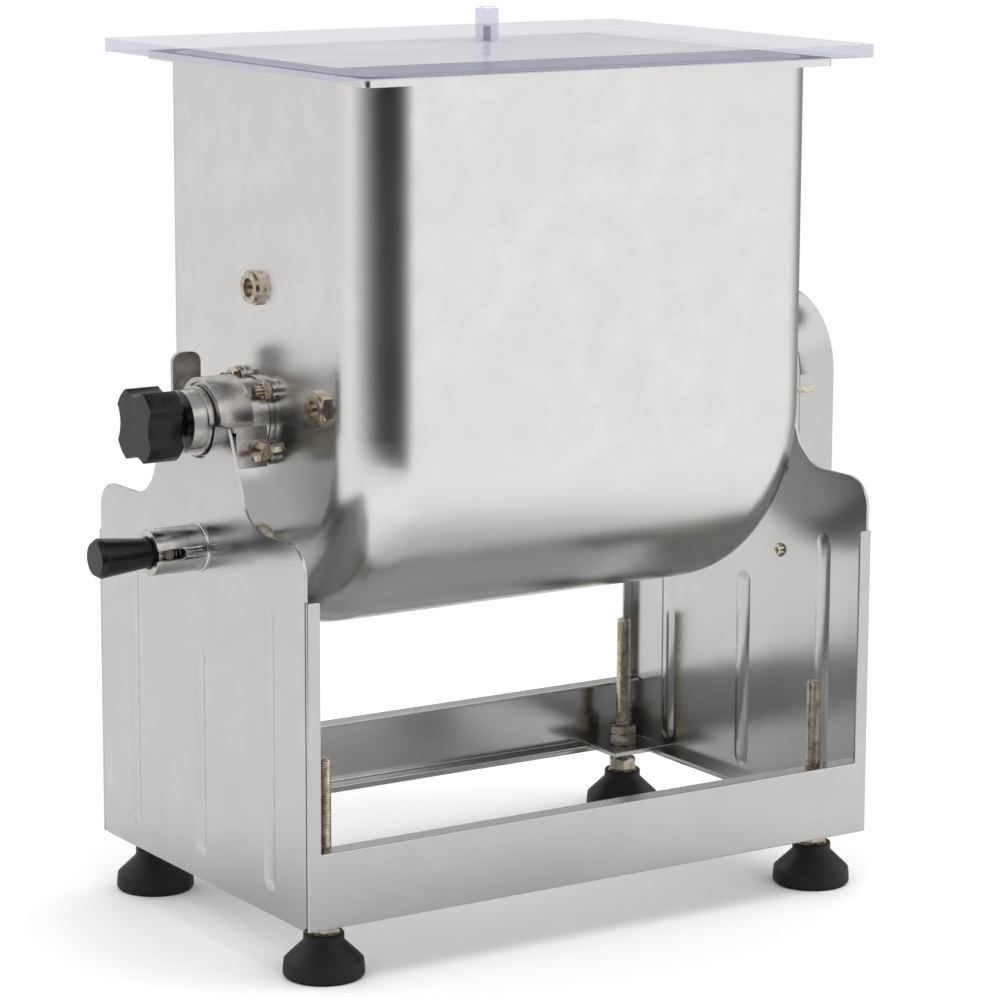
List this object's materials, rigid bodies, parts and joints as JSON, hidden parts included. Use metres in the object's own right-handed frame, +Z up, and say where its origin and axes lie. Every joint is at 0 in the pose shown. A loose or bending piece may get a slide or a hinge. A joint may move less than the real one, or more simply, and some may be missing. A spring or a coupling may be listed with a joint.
{
  "type": "tilting meat mixer",
  "caption": "Free-standing meat mixer: a U-shaped steel tank with a clear lid tilts between two side panels, with paddles, gear drive, lock pin and levelling feet.",
  "frame": {"origin": "on the floor, under the centre of the bounding box", "axes": "+X along the tilt axis from the lock side to the drive side, -Y the front, +Z up"},
  "size_m": [0.52, 0.283, 0.5585],
  "materials": {
    "stand_steel": "satin",
    "tank_steel": "satin",
    "turned_steel": "bright",
    "zinc_steel": "plated",
    "clear_acrylic": "clear",
    "black_plastic": "moulded",
    "foot_rubber": "matt",
    "seal_rubber": "matt",
    "bronze": "turned",
    "gear_steel": "greased",
    "spring_steel": "wire"
  },
  "bodies": {
    "root": {"side_panel_left": "stand_steel", "side_panel_right": "stand_steel", "front_frame": "stand_steel", "rear_frame": "stand_steel", "corner_gussets": "stand_steel", "weld_nuts": "zinc_steel", "jam_nuts": "zinc_steel", "hub_cradle": "turned_steel", "hub_strap": "turned_steel", "strap_washer": "zinc_steel", "lock_tube": "turned_steel", "lock_guide": "bronze", "lock_spring": "spring_steel", "gear_back_plate": "stand_steel", "gear_plate_screws": "zinc_steel", "gear_pillars": "zinc_steel", "gear_cover": "stand_steel", "cover_screws": "zinc_steel", "trunnion_bearing": "bronze", "output_bush": "bronze", "input_bush_inner": "bronze", "input_bush_outer": "bronze"},
    "tank": {"tank_shell": "tank_steel", "tank_rim": "tank_steel", "hub_tube": "turned_steel", "hub_bolts": "zinc_steel", "hub_nuts": "zinc_steel", "hub_seal": "seal_rubber", "trunnion_tube": "turned_steel", "trunnion_seal": "seal_rubber", "trunnion_bush": "bronze", "lock_sockets": "zinc_steel", "rest_stud": "zinc_steel"},
    "lid": {"lid_panel": "clear_acrylic", "lid_knob": "clear_acrylic", "lid_locators": "clear_acrylic", "lid_screw": "zinc_steel"},
    "mixer": {"mixer_shaft": "turned_steel", "paddle_arms": "turned_steel", "paddle_blades": "turned_steel", "gear_shaft": "turned_steel", "drive_gear": "gear_steel"},
    "pinion": {"drive_pinion": "gear_steel", "input_shaft": "turned_steel"},
    "lock_pin": {"lock_pin": "turned_steel", "lock_cross_pin": "zinc_steel", "lock_handle": "black_plastic"},
    "end_plug": {"end_plug": "turned_steel", "plug_bush": "bronze"},
    "star_knob": {"star_knob": "black_plastic"},
    "wing_screw": {"wing_screw": "zinc_steel"},
    "foot_front_left": {"foot_pad_fl": "foot_rubber", "foot_stud_fl": "zinc_steel"},
    "foot_front_right": {"foot_pad_fr": "foot_rubber", "foot_stud_fr": "zinc_steel"},
    "foot_rear_left": {"foot_pad_rl": "foot_rubber", "foot_stud_rl": "zinc_steel"},
    "foot_rear_right": {"foot_pad_rr": "foot_rubber", "foot_stud_rr": "zinc_steel"}
  },
  "joints": [
    {"name": "tank_tilt", "type": "hinge", "parent": "root", "child": "tank", "pos_m": [0.014, 0, 0.3195], "axis": [1, 0, 0], "range_deg": [0, 100]},
    {"name": "lid_lift", "type": "slide", "parent": "tank", "child": "lid", "axis": [0, 0, 1], "range_m": [0, 0.08]},
    {"name": "mixer_spin", "type": "hinge", "parent": "root", "child": "mixer", "pos_m": [0.014, 0, 0.3195], "axis": [1, 0, 0], "continuous": true},
    {"name": "pinion_spin", "type": "hinge", "parent": "root", "child": "pinion", "pos_m": [0.239, 0, 0.2655], "axis": [1, 0, 0], "continuous": true},
    {"name": "lock_slide", "type": "slide", "parent": "root", "child": "lock_pin", "axis": [1, 0, 0], "range_m": [0, 0.008], "deforming": ["lock_spring"]},
    {"name": "plug_pull", "type": "slide", "parent": "tank", "child": "end_plug", "axis": [-1, 0, 0], "range_m": [0, 0.05]},
    {"name": "knob_turn", "type": "hinge", "parent": "end_plug", "child": "star_knob", "pos_m": [-0.221, 0, 0.3195], "axis": [1, 0, 0], "continuous": true},
    {"name": "wing_turn", "type": "hinge", "parent": "root", "child": "wing_screw", "pos_m": [-0.1705, -0.045, 0.306], "axis": [0, 1, 0], "continuous": true},
    {"name": "foot_front_left_level", "type": "slide", "parent": "root", "child": "foot_front_left", "axis": [0, 0, -1], "range_m": [0, 0.02]},
    {"name": "foot_front_right_level", "type": "slide", "parent": "root", "child": "foot_front_right", "axis": [0, 0, -1], "range_m": [0, 0.02]},
    {"name": "foot_rear_left_level", "type": "slide", "parent": "root", "child": "foot_rear_left", "axis": [0, 0, -1], "range_m": [0, 0.02]},
    {"name": "foot_rear_right_level", "type": "slide", "parent": "root", "child": "foot_rear_right", "axis": [0, 0, -1], "range_m": [0, 0.02]}
  ],
  "couplings": [
    {"joint": "pinion_spin", "follows": "mixer_spin", "ratio": -2.8571}
  ]
}
